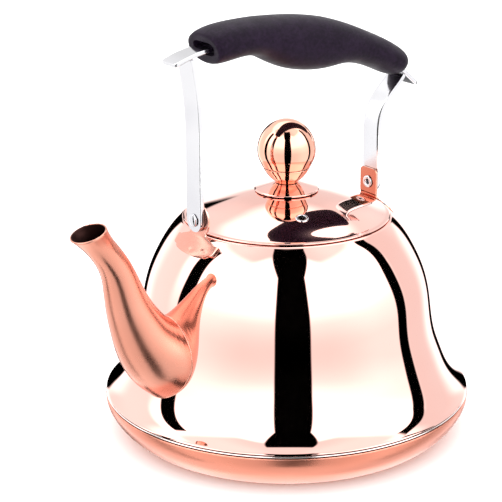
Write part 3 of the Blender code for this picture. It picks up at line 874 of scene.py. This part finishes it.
seat_disc = lathe(
    "knob_seat_disc",
    [tuple(p) for p in spline([(2.4, 131.0), (6.4, 130.9), (9.0, 130.2), (12.5, 129.1), (15.9, 128.05)], 30)]
    + [(16.25, 127.88), (16.45, 127.65), (16.45, 127.4), (16.3, 127.2), (16.1, 127.1)]
    + [(12.2, 128.1), (8.2, 128.75), (2.4, 129.0)],
    LID_ROSE,
    steps=128,
)
place(seat_disc, "lid", "mirror_rose_gold", "knob_seat")

SEAM_Z = 139.2
cup_out = spline([(5.9, 131.3), (6.2, 131.8), (8.0, 133.3), (10.0, 135.6), (11.2, 137.4), (11.95, 138.9)], 26)
knob_cup = lathe(
    "knob_lower_cup",
    [(2.4, 131.3), (5.6, 131.3)]
    + [tuple(p) for p in cup_out]
    + [(11.9, 139.0), (11.0, 139.0), (10.4, 137.8), (9.2, 136.1), (7.4, 134.0), (5.6, 132.6), (2.4, 132.5)],
    KNOB,
    steps=128,
)
place(knob_cup, "lid", "knob_copper", "knob_cup")
BALL_R, BALL_C, BALL_TOP = 14.9, 147.8, 164.0
ball = [(BALL_R * math.sin(a), BALL_C + (BALL_TOP - BALL_C) * math.cos(a)) for a in np.linspace(0.0, math.pi / 2, 40)]
ball[0] = (0.0, BALL_TOP)
lower_ball = spline([(14.9, 147.8), (14.6, 145.0), (13.6, 142.2), (12.45, 139.75)], 16)
knob_top = lathe(
    "knob_ball",
    ball
    + [tuple(p) for p in lower_ball[1:]]
    + [(12.2, 139.45), (11.9, 139.3), (11.5, 139.3), (11.3, 139.5), (12.6, 142.4), (13.6, 145.1)]
    + [(13.9 * math.sin(a), BALL_C + 15.2 * math.cos(a)) for a in np.linspace(math.pi / 2, 0.05, 12)]
    + [(0.0, BALL_TOP - 1.0)],
    KNOB,
    steps=144,
    closed=False,
)
place(knob_top, "lid", "knob_copper", "knob_shell")
stud = lathe(
    "knob_stud_screw",
    rounded([(0.0, 134.6), (4.2, 134.4), (4.2, 132.8), (2.1, 132.8), (2.1, 122.4), (1.6, 121.9), (0.0, 121.9)], 0.2, 3, closed=False),
    STEEL,
    40,
    closed=False,
)
place(stud, "lid", "polished_steel", "knob_stud")
washer = lathe("lid_washer_disc", rounded([(6.5, 127.0), (6.5, 126.4), (2.5, 126.4), (2.5, 127.0)], 0.15, 3), STEEL, 64)
place(washer, "lid", "polished_steel", "lid_washer")
hexagon = [[(4.0 * math.cos(math.pi / 3 * k), 4.0 * math.sin(math.pi / 3 * k), z) for k in range(6)] for z in (123.1, 126.1)]
nut = skin("lid_hex_nut", hexagon, STEEL)
soft = nut.modifiers.new("soft", "BEVEL")
soft.width = 0.25 * MM
soft.segments = 3
settle(nut)
carve(nut, rod((0, 0, 118.0), (0, 0, 131.0), 2.4, 32))
place(nut, "lid", "polished_steel", "lid_nut")

# ------------------------------------------------------------------ studio
bpy.ops.mesh.primitive_plane_add(size=6.0, location=(0, 0, 0))
floor = bpy.context.object
floor.name = "studio_floor"
floor.data.materials.append(floor_paint())
floor.visible_glossy = False

PSI = math.radians(38.0)
towards = Vector((-math.sin(PSI), -math.cos(PSI), 0.0))
across = Vector((math.cos(PSI), -math.sin(PSI), 0.0))

world = bpy.data.worlds.new("studio_light")
scene.world = world
world.use_nodes = True
tree = world.node_tree
tree.nodes.clear()
n = Nodes(tree)
direction = n.add("ShaderNodeTexCoord").outputs["Generated"]


def along(vector):
    node = n.add("ShaderNodeVectorMath", operation="DOT_PRODUCT")
    n.link(direction, node.inputs[0])
    node.inputs[1].default_value = vector
    return node.outputs["Value"]


azimuth = n.math("MULTIPLY", n.math("ARCTAN2", along(across), along(towards)), 180 / math.pi)
elevation = n.math("MULTIPLY", n.math("ARCSINE", along((0, 0, 1))), 180 / math.pi)


def band(value, low, high, soft):
    """1 between low and high, with soft edges."""
    rise = n.span(value, low - soft, low + soft, 0.0, 1.0, "SMOOTHSTEP")
    fall = n.span(value, high - soft, high + soft, 1.0, 0.0, "SMOOTHSTEP")
    return n.math("MULTIPLY", rise, fall)


def flag(low, high, bottom, top, soft=0.7, lean=0.0, spread=0.0, spread_from=42.0):
    """A tall black card between two azimuths, which may lean or widen as it rises."""
    over = n.math("MAXIMUM", n.math("SUBTRACT", elevation, spread_from), 0.0)
    shifted = n.math("SUBTRACT", azimuth, n.math("MULTIPLY", over, lean))
    middle = (low + high) / 2
    wide = n.math("ADD", n.math("MULTIPLY", over, spread), 1.0)
    squeezed = n.math("ADD", n.math("DIVIDE", n.math("SUBTRACT", shifted, middle), wide), middle)
    return n.math("MULTIPLY", band(squeezed, low, high, soft), band(elevation, bottom, top, 1.5))


cards = [
    flag(-9.0, 18.4, -60.0, 74.0, spread=0.045),
    flag(96.0, 106.8, -60.0, 50.0, lean=0.2, spread_from=20.0),
    flag(-96.0, -83.4, -60.0, 46.0),
    flag(151.0, 161.0, -40.0, 14.0, soft=1.5),
    flag(-168.0, -151.0, -40.0, 17.5, soft=1.5),
]
dark = cards[0]
for card in cards[1:]:
    dark = n.math("MAXIMUM", dark, card)
lit = n.math("SUBTRACT", 1.0, dark)
turned_away = n.math("ABSOLUTE", azimuth)
table = n.math("ADD", n.span(elevation, -8.0, 8.0, 1.17, 1.55), n.span(elevation, 6.0, 22.0, 0.0, 0.85, "SMOOTHSTEP"))
table = n.math("ADD", table, n.span(turned_away, 30.0, 75.0, 0.0, 0.24, "SMOOTHSTEP"))
raised = n.math("ADD", elevation, n.span(turned_away, 22.0, 46.0, 0.0, 10.0, "SMOOTHSTEP"))
front = n.math("SUBTRACT", table, n.span(raised, 57.0, 66.0, 0.0, 1.2, "SMOOTHSTEP"))
far_low = n.math("MULTIPLY", n.span(elevation, 5.0, 16.0, 1.9, 1.2, "SMOOTHSTEP"), n.span(turned_away, 158.0, 168.0, 1.0, 0.82, "SMOOTHSTEP"))
flank = n.span(azimuth, -20.0, 20.0, 1.32, 1.04)
past = n.span(turned_away, 128.0, 147.0, 0.0, 1.0, "SMOOTHSTEP")
back_mix = n.add("ShaderNodeMix", data_type="FLOAT")
n.link(past, back_mix.inputs["Factor"])
n.link(flank, back_mix.inputs[2])
n.link(far_low, back_mix.inputs[3])
back = n.math("ADD", back_mix.outputs[0], n.span(elevation, 38.0, 50.0, 0.0, 1.1, "SMOOTHSTEP"))
behind = n.span(turned_away, 101.0, 110.0, 0.0, 1.0, "SMOOTHSTEP")
level_mix = n.add("ShaderNodeMix", data_type="FLOAT")
n.link(behind, level_mix.inputs["Factor"])
n.link(front, level_mix.inputs[2])
n.link(back, level_mix.inputs[3])
level = level_mix.outputs[0]
glossy_level = n.math("MULTIPLY", level, lit)

path = n.add("ShaderNodeLightPath")
mix_diffuse = n.add("ShaderNodeMix", data_type="FLOAT")
n.link(path.outputs["Is Glossy Ray"], mix_diffuse.inputs["Factor"])
mix_diffuse.inputs[2].default_value = 2.0
n.link(glossy_level, mix_diffuse.inputs[3])
mix_camera = n.add("ShaderNodeMix", data_type="FLOAT")
n.link(path.outputs["Is Camera Ray"], mix_camera.inputs["Factor"])
n.link(mix_diffuse.outputs[0], mix_camera.inputs[2])
mix_camera.inputs[3].default_value = 1.0
background = n.add("ShaderNodeBackground")
background.inputs["Color"].default_value = (1.0, 1.0, 1.0, 1.0)
n.link(mix_camera.outputs[0], background.inputs["Strength"])
output = n.add("ShaderNodeOutputWorld")
n.link(background.outputs[0], output.inputs["Surface"])

scene.view_settings.view_transform = "Standard"
scene.view_settings.look = "None"
scene.view_settings.exposure = 0.0
scene.view_settings.gamma = 1.0

# ------------------------------------------------------------------ camera
lens = bpy.data.cameras.new("camera")
lens.sensor_width = 36.0
lens.lens = 1825 / 502 * 36.0
lens.shift_x = -(286.6 - 251.0) / 502
lens.clip_start = 0.01
camera = bpy.data.objects.new("camera", lens)
scene.collection.objects.link(camera)
camera.location = towards * 0.893 + Vector((0.0, 0.0, 0.3883))
pitch = math.radians(18.25)
forward = -towards * math.cos(pitch) + Vector((0.0, 0.0, -math.sin(pitch)))
camera.rotation_euler = forward.to_track_quat("-Z", "Y").to_euler()
scene.camera = camera

bpy.context.view_layer.update()
